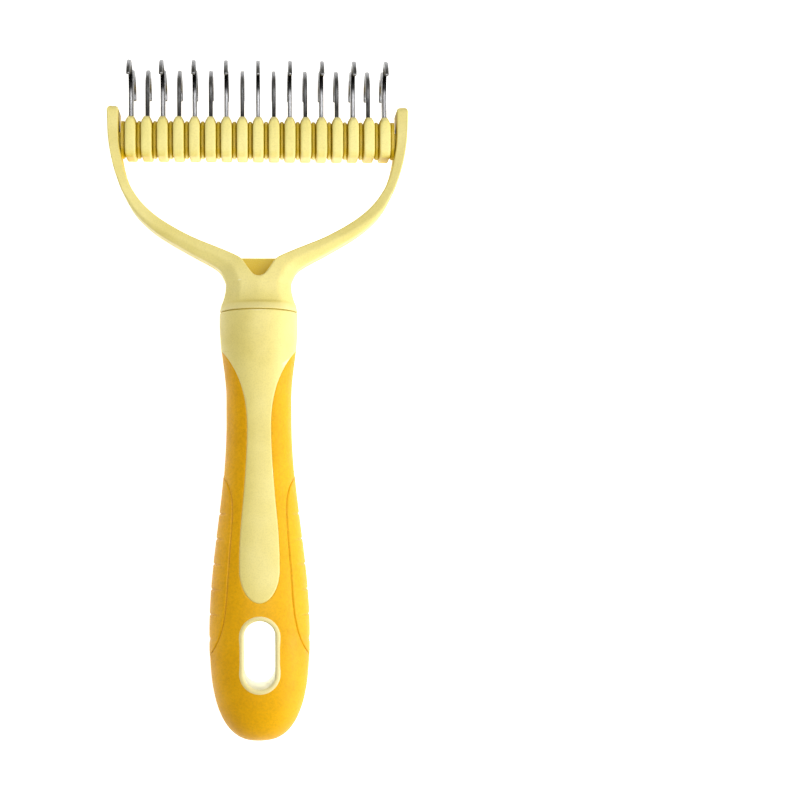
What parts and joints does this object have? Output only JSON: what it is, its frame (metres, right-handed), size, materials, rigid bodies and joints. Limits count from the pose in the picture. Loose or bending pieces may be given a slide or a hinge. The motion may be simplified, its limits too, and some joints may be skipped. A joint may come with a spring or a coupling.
{
  "type": "undercoat rake",
  "caption": "Two-sided undercoat rake: hooked steel blades on a ribbed bar, a forked plastic yoke and a soft-grip handle with a hang slot.",
  "frame": {"origin": "under the middle of the rake's outline, on the surface that it lies on", "axes": "+X along the comb bar to the right as seen from the front, +Y along the handle towards the blades, +Z out of the front side, with the wide-set hooks"},
  "size_m": [0.0932, 0.2096, 0.0296],
  "materials": {
    "pale_plastic": "satin",
    "grip_rubber": "satin",
    "blade_steel": "polished",
    "rod_steel": "drawn"
  },
  "bodies": {
    "root": {"yoke": "pale_plastic", "comb_bar": "pale_plastic", "tie_rod": "rod_steel", "handle_core": "pale_plastic", "grip": "grip_rubber", "blade_01": "blade_steel", "blade_02": "blade_steel", "blade_03": "blade_steel", "blade_04": "blade_steel", "blade_05": "blade_steel", "blade_06": "blade_steel", "blade_07": "blade_steel", "blade_08": "blade_steel", "blade_09": "blade_steel", "blade_10": "blade_steel", "blade_11": "blade_steel", "blade_12": "blade_steel", "blade_13": "blade_steel", "blade_14": "blade_steel", "blade_15": "blade_steel", "blade_16": "blade_steel", "blade_17": "blade_steel"}
  },
  "joints": []
}
